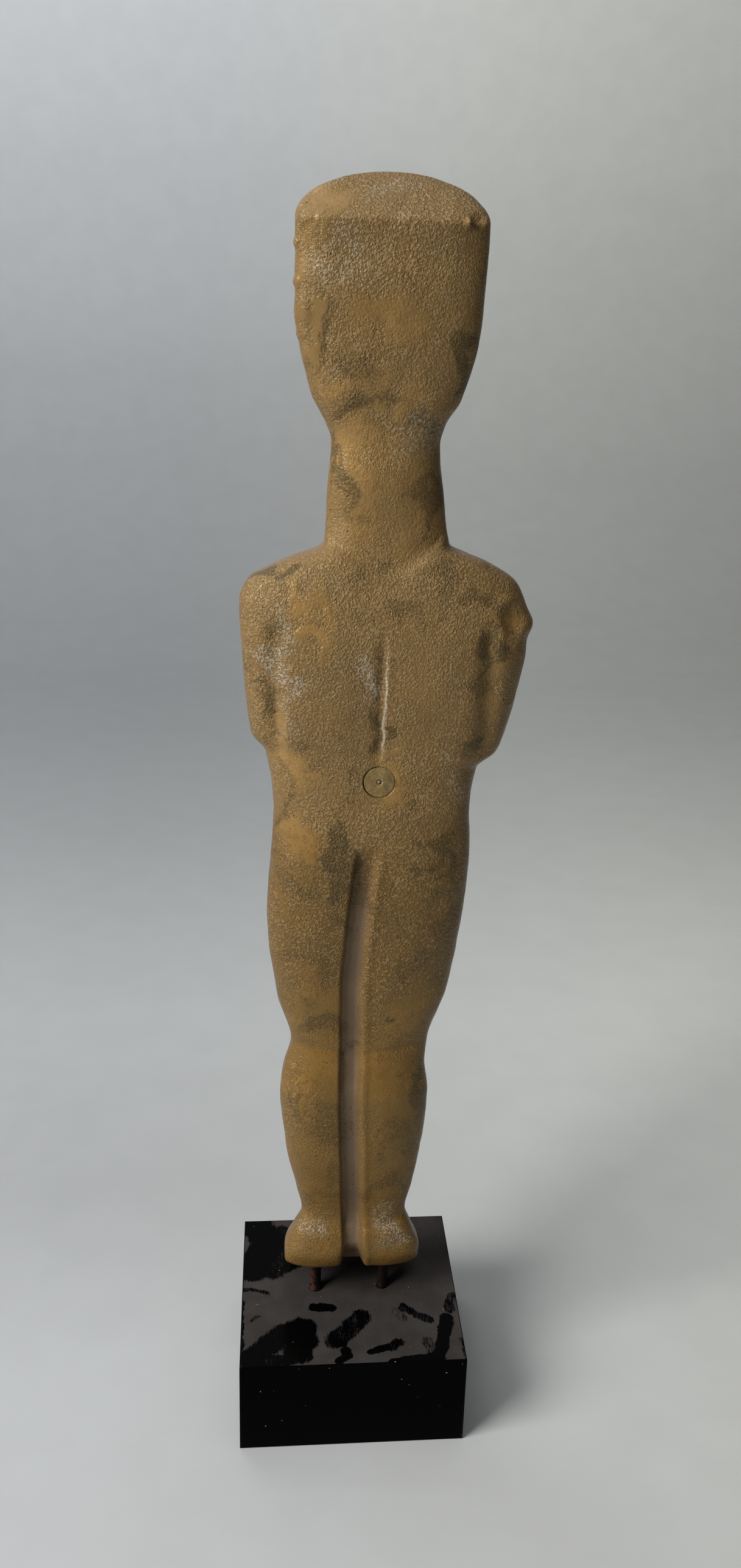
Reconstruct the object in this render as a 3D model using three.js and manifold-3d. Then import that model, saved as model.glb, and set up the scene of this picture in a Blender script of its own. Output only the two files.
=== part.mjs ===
// A Cycladic folded-arm figurine, cast in tinted stone, standing on two metal pins in a square
// black plinth block. Millimetres, +Z up. The origin is the centre of the block's underside.
// The figure's face looks along -Y, its back along +Y, and its own left side is +X.
import * as THREE from "three";
import { ParametricGeometry } from "three/addons/geometries/ParametricGeometry.js";
import { mergeVertices } from "three/addons/utils/BufferGeometryUtils.js";
import Module from "manifold-3d";

const wasm = await Module();
wasm.setup();

const { clamp, smoothstep } = THREE.MathUtils;

// ---- Driving dimensions ----

const BLOCK = { side: 90, height: 40.5, bevel: 0.5 };
const PIN = { diameter: 4.5, spacing: 28.3, inBlock: 16, top: 29 };
const PLUG = { diameter: 11.2, x: -5.4, height: 232.2, depth: 6 };
const FIT_GAP = 0.3;
const ROUND_SIDES = 28;

// The figure's sections from the toes up. Heights are above the block's top. left and right are
// the outline's distances from the block's centre plane, back, widest and front are depths along
// Y, and middle is where the spine and the cleft between the legs run. square is the section's
// exponent: 2 is an ellipse and more is boxier.
const SIZES = ["height", "left", "right", "back", "widest", "front", "middle", "square"];
const SECTIONS = Object.values({
  "toe tips": [3.5, 22, 23, -20.5, -21.8, -23, -0.6, 2.6],
  "under the toes": [6.2, 25, 26, -15.5, -20, -24.5, -0.6, 2.6],
  "under the arch": [10.5, 26, 27.2, -5.5, -14, -23.5, -0.6, 2.6],
  "under the heel": [15.2, 26.6, 27.8, 6, -3, -21.3, -0.6, 2.6],
  "heel edge": [18.8, 27.2, 28.2, 11.2, 3, -19.8, -0.6, 2.6],
  "heel": [24.5, 27.4, 28.4, 12.8, 4, -17, -0.5, 2.6],
  "above the heel": [32.5, 24.2, 25.6, 11, 3, -12.8, -0.2, 2.5],
  "ankle": [41, 20.4, 22.3, 8.2, 0.5, -10.2, 0, 2.4],
  "shin": [54, 23.1, 25, 9.4, 0, -9.8, 0.7, 2.4],
  "lower calf": [72, 27.1, 27.9, 11, 0, -10.4, 1.3, 2.4],
  "calf": [97, 29.3, 29.5, 11.4, 0, -11.4, 2.3, 2.4],
  "under the knee": [109, 28, 28.2, 9.6, -1.5, -12.6, 2.3, 2.4],
  "knee": [119.5, 25.5, 28.7, 8.2, -2.5, -14.4, 2.2, 2.4],
  "lower thigh": [141, 31, 35, 10.8, -1.5, -15.4, 2.6, 2.5],
  "thigh": [177, 34.7, 40, 14.4, -0.5, -16.2, 0.9, 2.6],
  "buttock": [198, 33.5, 41.2, 15, 0, -16.2, -1.2, 2.7],
  "waist": [217, 32.2, 40.4, 13.6, -0.5, -16, -3.6, 2.8],
  "under the elbows": [235, 34.4, 42.4, 12.9, -1.5, -16.4, -5.2, 2.9],
  "elbow tips": [240.8, 35.4, 49, 13.2, -1.5, -16.6, -5.4, 2.9],
  "elbows": [247.5, 40.4, 51.7, 13.8, -1.5, -16.8, -5.6, 3],
  "forearm": [262, 42.4, 54.8, 14.8, -1.5, -17, -5.9, 3.1],
  "upper arm": [280, 43.8, 57.6, 14.8, -1, -16.4, -6.1, 3.1],
  "shoulder": [295, 44.5, 56.4, 13.2, -1, -14.8, -6.1, 3],
  "shoulder corner": [302.5, 41.5, 53.8, 11.8, -1, -13.6, -6, 2.8],
  "shoulder slope": [309.5, 28.8, 43.4, 10.2, -1, -12.6, -5.8, 2.6],
  "foot of the neck": [316, 15.3, 28.4, 9, -1.5, -11.8, -5.7, 2.5],
  "neck": [333, 14.3, 25.9, 8.2, -1.5, -11.8, -5.6, 2.5],
  "under the chin": [350, 13.3, 23.9, 9.2, -1.5, -13.4, -5.6, 2.5],
  "chin": [356, 15.3, 25.1, 10, 0, -17.6, -5.6, 2.6],
  "jaw": [365, 20.2, 29.8, 11.8, 2, -17.4, -5.6, 2.9],
  "cheek": [383, 24.7, 34.4, 15.2, 5, -12.6, -5.6, 3.2],
  "temple": [404, 26, 35.2, 18.6, 9, -7, -5.6, 3.2],
  "ridge of the crown": [419, 26, 35.4, 20.4, 12, -2.9, -5.6, 3],
}).map((values) => Object.fromEntries(SIZES.map((key, i) => [key, values[i]])));

// The crown above the ridge: a low arch seen from behind, cut back to a thin rounded edge.
const CROWN = { rise: 14.6, edgeDepth: 3.6, edgeRound: 4 };

// The fineness of the mesh: rows between two sections are this far apart at most, closer where
// the forearms are carved, and columns stand at these shares of the half-width, closest at the
// cleft and at the rounded sides.
const ROW_STEP = 7.4;
const ARM_ROWS = { bottom: 240, top: 295, step: 3.4 };
const CROWN_ROWS = 6;
const BACK_SHARES = [0, 0.04, 0.1, 0.17, 0.27, 0.4, 0.53, 0.65, 0.76, 0.86, 0.93, 0.975, 0.995];
const FRONT_SHARES = [0, 0.05, 0.12, 0.22, 0.35, 0.5, 0.64, 0.78, 0.89, 0.96, 0.992];

// ---- Smooth change of one size up the figure ----

// A curve through the sections' values that never overshoots them: its slope at a section is
// the harmonic mean of the slopes on both sides, and zero at a peak or a dip.
function smoothCurve(key) {
  const z = SECTIONS.map((section) => section.height);
  const value = SECTIONS.map((section) => section[key]);
  const rise = z.slice(1).map((top, i) => (value[i + 1] - value[i]) / (top - z[i]));
  const slope = z.map((_, i) => {
    if (i === 0) return rise[0];
    if (i === z.length - 1) return rise[i - 1];
    const product = rise[i - 1] * rise[i];
    return product > 0 ? (2 * product) / (rise[i - 1] + rise[i]) : 0;
  });
  return (height) => {
    const h = clamp(height, z[0], z[z.length - 1]);
    const i = Math.min(Math.max(z.findIndex((top) => top >= h), 1), z.length - 1) - 1;
    const span = z[i + 1] - z[i];
    const t = (h - z[i]) / span;
    const t2 = t * t;
    const t3 = t2 * t;
    return (
      (2 * t3 - 3 * t2 + 1) * value[i] +
      (t3 - 2 * t2 + t) * span * slope[i] +
      (3 * t2 - 2 * t3) * value[i + 1] +
      (t3 - t2) * span * slope[i + 1]
    );
  };
}

const size = Object.fromEntries(SIZES.slice(1).map((key) => [key, smoothCurve(key)]));

const ridgeHeight = SECTIONS[SECTIONS.length - 1].height;

// The section at a height: its half-widths either side of the middle line, and its depths.
function sectionAt(height) {
  const middle = size.middle(height);
  const section = {
    middle,
    left: size.left(height) - middle,
    right: size.right(height) + middle,
    back: size.back(height),
    widest: size.widest(height),
    front: size.front(height),
    square: size.square(height),
  };
  if (height > ridgeHeight) {
    const t = Math.min((height - ridgeHeight) / CROWN.rise, 1);
    const arch = Math.sqrt(1 - t * t);
    const closing = (depth) => CROWN.edgeDepth + (depth - CROWN.edgeDepth) * (1 - t);
    const round = (CROWN.edgeRound / 2) * (arch - (1 - t));
    section.left *= arch;
    section.right *= arch;
    section.back = closing(section.back) + round;
    section.widest = closing(section.widest);
    section.front = closing(section.front) - round;
  }
  return section;
}

// ---- Carving, as depths added to the back or taken from the front ----

const bell = (distance, width) => Math.exp(-((distance / width) ** 2));
const trench = (distance, width) => Math.exp(-((distance / width) ** 4));
const between = (value, low, high, blend) =>
  smoothstep(value, low - blend, low + blend) * (1 - smoothstep(value, high - blend, high + blend));

const CLEFT = { top: 209, blend: 14, width: 4.2, depth: 2.8, hollow: 1.5, hollowWidth: 12 };
const HEEL_NOTCH = { bottom: 8, top: 30, depth: 11 };
const SPINE = { bottom: 240, top: 284, width: 2.2, depth: 0.9, hollow: 0.8, hollowWidth: 11 };
const ARM_GROOVE = { bottom: 241, top: 288, left: 32.2, right: 43.4, width: 3.6, depth: 1.5 };
const SHOULDER_KNOB = { height: 289.5, width: 4.2, reach: 2.4 };
const NECK_STEP = { centre: 306.8, rise: 0.028, depth: 1.3, fadeFrom: 322, fadeTo: 345 };
const NAPE_ARCH = { centre: 364.5, fall: 0.02, depth: 0.8, fadeFrom: 335, fadeTo: 350 };
const RIDGE_HOLLOW = { height: 410, width: 7, depth: 0.9 };

const FRONT_CLEFT = { top: 191, blend: 5, width: 3.4, depth: 3.4, hollow: 1.4, hollowWidth: 11 };
const TOE_NOTCH = { bottom: 12, top: 34, depth: 7 };
const FOREARM = { upper: 264.5, lower: 252, halfWidth: 5.4, relief: 3.2, edge: 1.6, hand: 30.5 };
const UPPER_ARM = { bottom: 273, top: 299, apart: 35, width: 3.2, groove: 1.8 };
const BREAST = { height: 285, apart: 17.5, width: 8.5, relief: 3.4 };
const NOSE = { top: 404, bottom: 378, width: 4.2, relief: 5.2 };
const KNEE = { height: 127, apart: 15, width: 9, relief: 1.4 };
const TRIANGLE = { top: 214, bottom: 193, halfWidth: 25, width: 2.2, depth: 0.9 };

function backCarving(x, height, off) {
  const underTop = 1 - smoothstep(height, CLEFT.top - CLEFT.blend, CLEFT.top);
  const notch = HEEL_NOTCH.depth * (1 - smoothstep(height, HEEL_NOTCH.bottom, HEEL_NOTCH.top));
  const groove = (CLEFT.depth + notch) * trench(off, CLEFT.width);
  const cleft = underTop * (groove + CLEFT.hollow * bell(off, CLEFT.hollowWidth));
  const spineLine = between(height, SPINE.bottom, SPINE.top, 6) * SPINE.depth * bell(off, SPINE.width);
  const spineHollow = between(height, SPINE.bottom, SPINE.top, 14) * SPINE.hollow * bell(off, SPINE.hollowWidth);
  const fromArm = off > 0 ? x - ARM_GROOVE.left : x + ARM_GROOVE.right;
  const byTheArms = between(height, ARM_GROOVE.bottom, ARM_GROOVE.top, 5);
  const arms = byTheArms * ARM_GROOVE.depth * bell(fromArm, ARM_GROOVE.width);
  const neckLine = NECK_STEP.centre + NECK_STEP.rise * off * off;
  const aboveLine = smoothstep(height, neckLine - 2, neckLine + 3);
  const neckStep = NECK_STEP.depth * aboveLine * (1 - smoothstep(height, NECK_STEP.fadeFrom, NECK_STEP.fadeTo));
  const arch = NAPE_ARCH.centre - NAPE_ARCH.fall * off * off;
  const belowArch = 1 - smoothstep(height, arch - 2.5, arch + 1.5);
  const napeStep = NAPE_ARCH.depth * belowArch * smoothstep(height, NAPE_ARCH.fadeFrom, NAPE_ARCH.fadeTo);
  const underRidge = RIDGE_HOLLOW.depth * bell(height - RIDGE_HOLLOW.height, RIDGE_HOLLOW.width);
  return -(cleft + spineLine + spineHollow + arms + neckStep + napeStep + underRidge);
}

function frontCarving(height, off) {
  const { top, blend } = FRONT_CLEFT;
  const groove = FRONT_CLEFT.depth * trench(off, FRONT_CLEFT.width);
  const hollow = FRONT_CLEFT.hollow * bell(off, FRONT_CLEFT.hollowWidth);
  const cleft = (1 - smoothstep(height, top - blend, top + blend)) * (groove + hollow);
  const atToes = 1 - smoothstep(height, TOE_NOTCH.bottom, TOE_NOTCH.top);
  const toes = atToes * TOE_NOTCH.depth * trench(off, FRONT_CLEFT.width);
  const byTheChest = between(height, UPPER_ARM.bottom, UPPER_ARM.top, 4);
  const chest = byTheChest * UPPER_ARM.groove * bell(Math.abs(off) - UPPER_ARM.apart, UPPER_ARM.width);
  const fromBreast = Math.hypot(Math.abs(off) - BREAST.apart, height - BREAST.height);
  const breasts = BREAST.relief * bell(fromBreast, BREAST.width);
  const band = (middle) =>
    between(height, middle - FOREARM.halfWidth, middle + FOREARM.halfWidth, FOREARM.edge);
  const upperReach = smoothstep(off, -FOREARM.hand - 3.5, -FOREARM.hand + 3.5);
  const lowerReach = 1 - smoothstep(off, FOREARM.hand - 3.5, FOREARM.hand + 3.5);
  const forearms = FOREARM.relief * (upperReach * band(FOREARM.upper) + lowerReach * band(FOREARM.lower));
  const downTheNose = clamp((NOSE.top - height) / (NOSE.top - NOSE.bottom), 0, 1) ** 0.7;
  const tip = smoothstep(height, NOSE.bottom - 2.5, NOSE.bottom + 1);
  const nose = NOSE.relief * tip * downTheNose * bell(off, NOSE.width);
  const fromKnee = Math.hypot(Math.abs(off) - KNEE.apart, height - KNEE.height);
  const knees = KNEE.relief * bell(fromKnee, KNEE.width);
  const slant = TRIANGLE.bottom + ((TRIANGLE.top - TRIANGLE.bottom) * Math.abs(off)) / TRIANGLE.halfWidth;
  const onLine = Math.max(bell(height - TRIANGLE.top, TRIANGLE.width), bell(height - slant, TRIANGLE.width));
  const triangle = Math.abs(off) < TRIANGLE.halfWidth ? TRIANGLE.depth * onLine : 0;
  return breasts + forearms + nose + knees - cleft - toes - chest - triangle;
}

// ---- The figure's surface ----

// No carving cuts deeper than this share of the section, and carving fades out at its sides.
const DEEPEST_SHARE = 0.82;
const EDGE_FADE = 1.6;

// Shares of the half-width all the way round a section: along the back from the left side to
// the right one, and along the front to the left side again.
function roundTheSection() {
  const across = (shares) => [...shares.slice(1).reverse(), ...shares.map((share) => -share)];
  const back = across(BACK_SHARES).map((share) => ({ share, side: 1 }));
  const front = across(FRONT_SHARES).map((share) => ({ share: -share, side: -1 }));
  return [{ share: 1, side: 1 }, ...back, { share: -1, side: 1 }, ...front];
}

function rowHeights() {
  const heights = [];
  SECTIONS.slice(1).forEach(({ height }, i) => {
    const below = SECTIONS[i].height;
    const step = below >= ARM_ROWS.bottom && height <= ARM_ROWS.top ? ARM_ROWS.step : ROW_STEP;
    const steps = Math.ceil((height - below) / step);
    for (let k = 0; k < steps; k++) heights.push(below + ((height - below) * k) / steps);
  });
  for (let k = 0; k <= CROWN_ROWS; k++)
    heights.push(ridgeHeight + CROWN.rise * Math.sin((k / CROWN_ROWS) * (Math.PI / 2)));
  return heights;
}

function surfacePoint(column, height, target) {
  const section = sectionAt(height);
  const { share, side } = column;
  const half = share > 0 ? section.left : section.right;
  const x = section.middle + share * half;
  const round = (1 - Math.abs(share) ** section.square) ** (1 / section.square);
  const reach = side > 0 ? section.back - section.widest : section.widest - section.front;
  const off = x - section.middle;
  const carving = side > 0 ? backCarving(x, height, off) : frontCarving(height, off);
  const most = DEEPEST_SHARE * reach;
  const depth = reach * round + clamp(carving, -most, most) * Math.min(1, EDGE_FADE * round);
  const atKnob = bell(height - SHOULDER_KNOB.height, SHOULDER_KNOB.width);
  const knob = share < -0.9 ? SHOULDER_KNOB.reach * atKnob : 0;
  target.set(x - knob, section.widest + side * depth, BLOCK.height + height);
}

function figureGeometry() {
  const columns = roundTheSection();
  const heights = rowHeights();
  const rows = heights.length;
  const surface = (u, v, target) => {
    const row = Math.round(v * (rows + 1));
    const column = columns[Math.round(u * columns.length) % columns.length];
    const atEnd = row === 0 || row === rows + 1;
    const height = heights[clamp(row - 1, 0, rows - 1)];
    surfacePoint(column, height, target);
    if (atEnd) {
      const { middle, widest } = sectionAt(height);
      target.set(middle, widest, BLOCK.height + height);
    }
  };
  return new ParametricGeometry(surface, columns.length, rows + 1);
}

// ---- Solids ----

function solidOf(geometry) {
  const bare = geometry.clone();
  bare.deleteAttribute("normal");
  bare.deleteAttribute("uv");
  const merged = mergeVertices(bare, 1e-3);
  const corners = merged.index.array;
  const kept = [];
  for (let i = 0; i < corners.length; i += 3) {
    const [a, b, c] = corners.slice(i, i + 3);
    if (a !== b && b !== c && c !== a) kept.push(a, b, c);
  }
  return new wasm.Manifold(
    new wasm.Mesh({
      numProp: 3,
      vertProperties: merged.attributes.position.array,
      triVerts: new Uint32Array(kept),
    }),
  );
}

function geometryOf(solid) {
  const mesh = solid.getMesh();
  const geometry = new THREE.BufferGeometry();
  geometry.setAttribute("position", new THREE.BufferAttribute(mesh.vertProperties, 3));
  geometry.setIndex(new THREE.BufferAttribute(mesh.triVerts, 1));
  geometry.computeVertexNormals();
  return geometry;
}

const upright = (radius, bottom, top, x) =>
  new THREE.CylinderGeometry(radius, radius, top - bottom, ROUND_SIDES)
    .rotateX(Math.PI / 2)
    .translate(x, 0, (bottom + top) / 2);

const pinPlaces = { pin_left: PIN.spacing / 2, pin_right: -PIN.spacing / 2 };

function pinSocket(x) {
  const radius = PIN.diameter / 2 + FIT_GAP;
  const bottom = BLOCK.height - PIN.inBlock - FIT_GAP;
  return solidOf(upright(radius, bottom, BLOCK.height + PIN.top + FIT_GAP, x));
}

// A round bar through the small of the back, from behind the figure down to a depth.
function plugBar(radius, depth) {
  const behind = 30;
  const face = sectionAt(PLUG.height).back;
  const length = behind - face + depth;
  return new THREE.CylinderGeometry(radius, radius, length, ROUND_SIDES).translate(
    PLUG.x,
    behind - length / 2,
    BLOCK.height + PLUG.height,
  );
}

function blockGeometry() {
  const { side, height, bevel } = BLOCK;
  const half = side / 2 - bevel;
  const square = new THREE.Shape([
    new THREE.Vector2(-half, -half),
    new THREE.Vector2(half, -half),
    new THREE.Vector2(half, half),
    new THREE.Vector2(-half, half),
  ]);
  return new THREE.ExtrudeGeometry(square, {
    depth: height - 2 * bevel,
    bevelThickness: bevel,
    bevelSize: bevel,
    bevelSegments: 1,
  }).translate(0, 0, bevel);
}

// ---- The pieces ----

const castStone = new THREE.MeshStandardMaterial({ color: 0x9a7a4a, roughness: 0.5, metalness: 0 });
const plugFiller = new THREE.MeshStandardMaterial({ color: 0x7d6a38, roughness: 0.45, metalness: 0 });
const blackStone = new THREE.MeshStandardMaterial({ color: 0x101112, roughness: 0.2, metalness: 0 });
const darkSteel = new THREE.MeshStandardMaterial({ color: 0x1b1614, roughness: 0.5, metalness: 0.8 });

const group = new THREE.Group();

function addPiece(name, geometry, material) {
  const mesh = new THREE.Mesh(geometry, material);
  mesh.name = name;
  group.add(mesh);
}

const wholeFigure = solidOf(figureGeometry());
const sockets = Object.values(pinPlaces).map(pinSocket);
const pocket = solidOf(plugBar(PLUG.diameter / 2 + FIT_GAP, PLUG.depth + FIT_GAP));
const figure = sockets.reduce((solid, socket) => solid.subtract(socket), wholeFigure.subtract(pocket));
const plug = wholeFigure.intersect(solidOf(plugBar(PLUG.diameter / 2, PLUG.depth)));
const block = sockets.reduce((solid, socket) => solid.subtract(socket), solidOf(blockGeometry()));

addPiece("figurine", geometryOf(figure), castStone);
addPiece("back_plug", geometryOf(plug), plugFiller);
addPiece("base_block", geometryOf(block), blackStone);
for (const [name, x] of Object.entries(pinPlaces)) {
  const bottom = BLOCK.height - PIN.inBlock;
  addPiece(name, upright(PIN.diameter / 2, bottom, BLOCK.height + PIN.top, x), darkSteel);
}

export default group;
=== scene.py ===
"""The looks of a Cycladic folded-arm figurine, cast in tinted stone, on its black plinth block.

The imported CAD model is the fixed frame, in metres, +Z up, with its origin at the centre of the
block's underside. The figure's face looks along -Y, its back along +Y, and its left side is +X.
The figure's form repeats the CAD's driving values, in millimetres above the block's top, on a
finer mesh that carries the finer carving and the worn, pebbly surface of the cast.
"""

import math
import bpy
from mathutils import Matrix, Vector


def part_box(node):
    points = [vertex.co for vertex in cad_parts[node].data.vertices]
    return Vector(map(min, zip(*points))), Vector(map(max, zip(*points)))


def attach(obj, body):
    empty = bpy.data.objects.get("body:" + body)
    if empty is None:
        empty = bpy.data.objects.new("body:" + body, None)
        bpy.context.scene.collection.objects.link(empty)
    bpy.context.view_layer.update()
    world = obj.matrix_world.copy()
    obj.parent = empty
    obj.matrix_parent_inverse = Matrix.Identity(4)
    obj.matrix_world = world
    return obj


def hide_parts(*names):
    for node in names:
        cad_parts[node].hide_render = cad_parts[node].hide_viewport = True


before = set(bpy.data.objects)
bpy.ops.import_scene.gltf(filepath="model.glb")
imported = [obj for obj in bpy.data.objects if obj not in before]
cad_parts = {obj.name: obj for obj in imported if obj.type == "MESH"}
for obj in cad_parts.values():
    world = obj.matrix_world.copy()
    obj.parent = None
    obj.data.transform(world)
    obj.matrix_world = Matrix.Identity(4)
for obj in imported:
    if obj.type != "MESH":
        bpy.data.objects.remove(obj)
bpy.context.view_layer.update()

from types import SimpleNamespace as Values

import bmesh
import bpy
import numpy as np
from mathutils import Matrix, Vector

MM = 0.001
block_low, block_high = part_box("base_block")
BLOCK_TOP = block_high.z
BLOCK_HALF = (block_high.x - block_low.x) / 2 / MM
BLOCK_HEIGHT = (block_high.z - block_low.z) / MM


# ---- Camera ----

# Where the camera stands from the origin, in metres, and how it is turned, in degrees: its
# heading from looking straight along -Y, its dip below the horizon and its roll.
CAMERA = Values(place=(0.0306, 0.4695, 0.4363), heading=-6.08, dip=19.67, roll=2.26)
FRAME_PIXELS = (1217, 2576)
FOCAL_PIXELS = 2222.75
AXIS_RIGHT_OF_CENTRE = 71.5
SENSOR = 36


def make_camera():
    data = bpy.data.cameras.new("camera")
    data.sensor_width = SENSOR
    data.lens = SENSOR * FOCAL_PIXELS / max(FRAME_PIXELS)
    data.shift_x = -AXIS_RIGHT_OF_CENTRE / max(FRAME_PIXELS)
    data.clip_start = 0.01
    data.clip_end = 20
    camera = bpy.data.objects.new("camera", data)
    bpy.context.scene.collection.objects.link(camera)
    camera.matrix_world = (
        Matrix.Translation(CAMERA.place)
        @ Matrix.Rotation(math.radians(180 + CAMERA.heading), 4, "Z")
        @ Matrix.Rotation(math.radians(90 - CAMERA.dip), 4, "X")
        @ Matrix.Rotation(math.radians(CAMERA.roll), 4, "Z")
    )
    bpy.context.scene.camera = camera


# ---- The figure's sections, as in the CAD ----

# Heights are above the block's top. left and right are the outline's distances from the block's
# centre plane, back, widest and front are depths along Y, and middle is where the spine and the
# cleft between the legs run. square is the section's exponent: 2 is an ellipse, more is boxier.
SIZES = ("height", "left", "right", "back", "widest", "front", "middle", "square")
SECTIONS = {
    "toe tips": (3.5, 22, 23, -20.5, -21.8, -23, -0.6, 2.6),
    "under the toes": (6.2, 25, 26, -15.5, -20, -24.5, -0.6, 2.6),
    "under the arch": (10.5, 26, 27.2, -5.5, -14, -23.5, -0.6, 2.6),
    "under the heel": (15.2, 26.6, 27.8, 6, -3, -21.3, -0.6, 2.6),
    "heel edge": (18.8, 27.2, 28.2, 11.2, 3, -19.8, -0.6, 2.6),
    "heel": (24.5, 27.4, 28.4, 12.8, 4, -17, -0.5, 2.6),
    "above the heel": (32.5, 24.2, 25.6, 11, 3, -12.8, -0.2, 2.5),
    "ankle": (41, 20.4, 22.3, 8.2, 0.5, -10.2, 0, 2.4),
    "shin": (54, 23.1, 25, 9.4, 0, -9.8, 0.7, 2.4),
    "lower calf": (72, 27.1, 27.9, 11, 0, -10.4, 1.3, 2.4),
    "calf": (97, 29.3, 29.5, 11.4, 0, -11.4, 2.3, 2.4),
    "under the knee": (109, 28, 28.2, 9.6, -1.5, -12.6, 2.3, 2.4),
    "knee": (119.5, 25.5, 28.7, 8.2, -2.5, -14.4, 2.2, 2.4),
    "lower thigh": (141, 31, 35, 10.8, -1.5, -15.4, 2.6, 2.5),
    "thigh": (177, 34.7, 40, 14.4, -0.5, -16.2, 0.9, 2.6),
    "buttock": (198, 33.5, 41.2, 15, 0, -16.2, -1.2, 2.7),
    "waist": (217, 32.2, 40.4, 13.6, -0.5, -16, -3.6, 2.8),
    "under the elbows": (235, 34.4, 42.4, 12.9, -1.5, -16.4, -5.2, 2.9),
    "elbow tips": (240.8, 35.4, 49, 13.2, -1.5, -16.6, -5.4, 2.9),
    "elbows": (247.5, 40.4, 51.7, 13.8, -1.5, -16.8, -5.6, 3),
    "forearm": (262, 42.4, 54.8, 14.8, -1.5, -17, -5.9, 3.1),
    "upper arm": (280, 43.8, 57.6, 14.8, -1, -16.4, -6.1, 3.1),
    "shoulder": (295, 44.5, 56.4, 13.2, -1, -14.8, -6.1, 3),
    "shoulder corner": (302.5, 41.5, 53.8, 11.8, -1, -13.6, -6, 2.8),
    "shoulder slope": (309.5, 28.8, 43.4, 10.2, -1, -12.6, -5.8, 2.6),
    "foot of the neck": (316, 15.3, 28.4, 9, -1.5, -11.8, -5.7, 2.5),
    "neck": (333, 14.3, 25.9, 8.2, -1.5, -11.8, -5.6, 2.5),
    "under the chin": (350, 13.3, 23.9, 9.2, -1.5, -13.4, -5.6, 2.5),
    "chin": (356, 15.3, 25.1, 10, 0, -17.6, -5.6, 2.6),
    "jaw": (365, 20.2, 29.8, 11.8, 2, -17.4, -5.6, 2.9),
    "cheek": (383, 24.7, 34.4, 15.2, 5, -12.6, -5.6, 3.2),
    "temple": (404, 26, 35.2, 18.6, 9, -7, -5.6, 3.2),
    "ridge of the crown": (419, 26, 35.4, 20.4, 12, -2.9, -5.6, 3),
}

# The crown above the ridge: a low arch seen from behind, cut back to a thin rounded edge.
CROWN = Values(rise=14.6, edge_depth=3.6, edge_round=4)

TABLE = np.array(list(SECTIONS.values()), float)
RIDGE = TABLE[-1, 0]


def smooth_curve(key):
    """A curve through the sections' values that never overshoots them: its slope at a section
    is the harmonic mean of the slopes on both sides, and zero at a peak or a dip."""
    z = TABLE[:, 0]
    value = TABLE[:, SIZES.index(key)]
    rise = np.diff(value) / np.diff(z)
    below, above = rise[:-1], rise[1:]
    steady = below * above > 0
    total = np.where(steady, below + above, 1)
    inner = np.where(steady, 2 * below * above / total, 0)
    slope = np.concatenate([rise[:1], inner, rise[-1:]])

    def at(height):
        h = np.clip(height, z[0], z[-1])
        i = np.clip(np.searchsorted(z, h) - 1, 0, len(z) - 2)
        span = z[i + 1] - z[i]
        t = (h - z[i]) / span
        return (
            (2 * t**3 - 3 * t**2 + 1) * value[i]
            + (t**3 - 2 * t**2 + t) * span * slope[i]
            + (3 * t**2 - 2 * t**3) * value[i + 1]
            + (t**3 - t**2) * span * slope[i + 1]
        )

    return at


size_at = {key: smooth_curve(key) for key in SIZES[1:]}


def section_at(height):
    """The section at each height: its half-widths either side of the middle, and its depths."""
    section = {key: curve(height) for key, curve in size_at.items()}
    section["left"] = section["left"] - section["middle"]
    section["right"] = section["right"] + section["middle"]
    t = np.clip((height - RIDGE) / CROWN.rise, 0, 1)
    arch = np.sqrt(1 - t * t)
    round_edge = CROWN.edge_round / 2 * (arch - (1 - t))
    for key in ("left", "right"):
        section[key] = section[key] * arch
    for key, way in (("back", 1), ("widest", 0), ("front", -1)):
        closed = CROWN.edge_depth + (section[key] - CROWN.edge_depth) * (1 - t)
        section[key] = closed + way * round_edge
    return section


# ---- Shaping helpers ----


def bell(distance, width):
    return np.exp(-((distance / width) ** 2))


def trench(distance, width):
    return np.exp(-((distance / width) ** 4))


def smoothstep(value, low, high):
    t = np.clip((value - low) / (high - low), 0, 1)
    return t * t * (3 - 2 * t)


def falling(value, low, high):
    return 1 - smoothstep(value, low, high)


def between(value, low, high, blend):
    rising = smoothstep(value, low - blend, low + blend)
    return rising * falling(value, high - blend, high + blend)


def noise(points, cell, seed):
    """Gradient noise from about -1 to 1. points is (n, 3), and its lumps are about cell wide,
    one number or one for each axis."""
    count = 64
    rng = np.random.default_rng(seed)
    slopes = rng.normal(size=(count, count, count, 3))
    slopes /= np.linalg.norm(slopes, axis=-1, keepdims=True)
    place = points / np.asarray(cell)
    base = np.floor(place).astype(int)
    part = place - base
    fade = part**3 * (part * (part * 6 - 15) + 10)
    total = np.zeros(len(points))
    for corner in np.ndindex(2, 2, 2):
        weight = np.prod(np.where(corner, fade, 1 - fade), axis=1)
        slope = slopes[tuple(((base + corner) % count).T)]
        total += weight * np.einsum("ij,ij->i", slope, part - corner)
    return total * 1.6


def stroke(x, z, points, width):
    """How far inside a soft line each place is, 1 on it and 0 well away. points are its corners."""
    nearest = np.full(np.shape(x), 1e9)
    for (x0, z0), (x1, z1) in zip(points[:-1], points[1:]):
        dx, dz = x1 - x0, z1 - z0
        t = np.clip(((x - x0) * dx + (z - z0) * dz) / (dx * dx + dz * dz), 0, 1)
        nearest = np.minimum(nearest, np.hypot(x - x0 - t * dx, z - z0 - t * dz))
    return bell(nearest, width)


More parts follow.
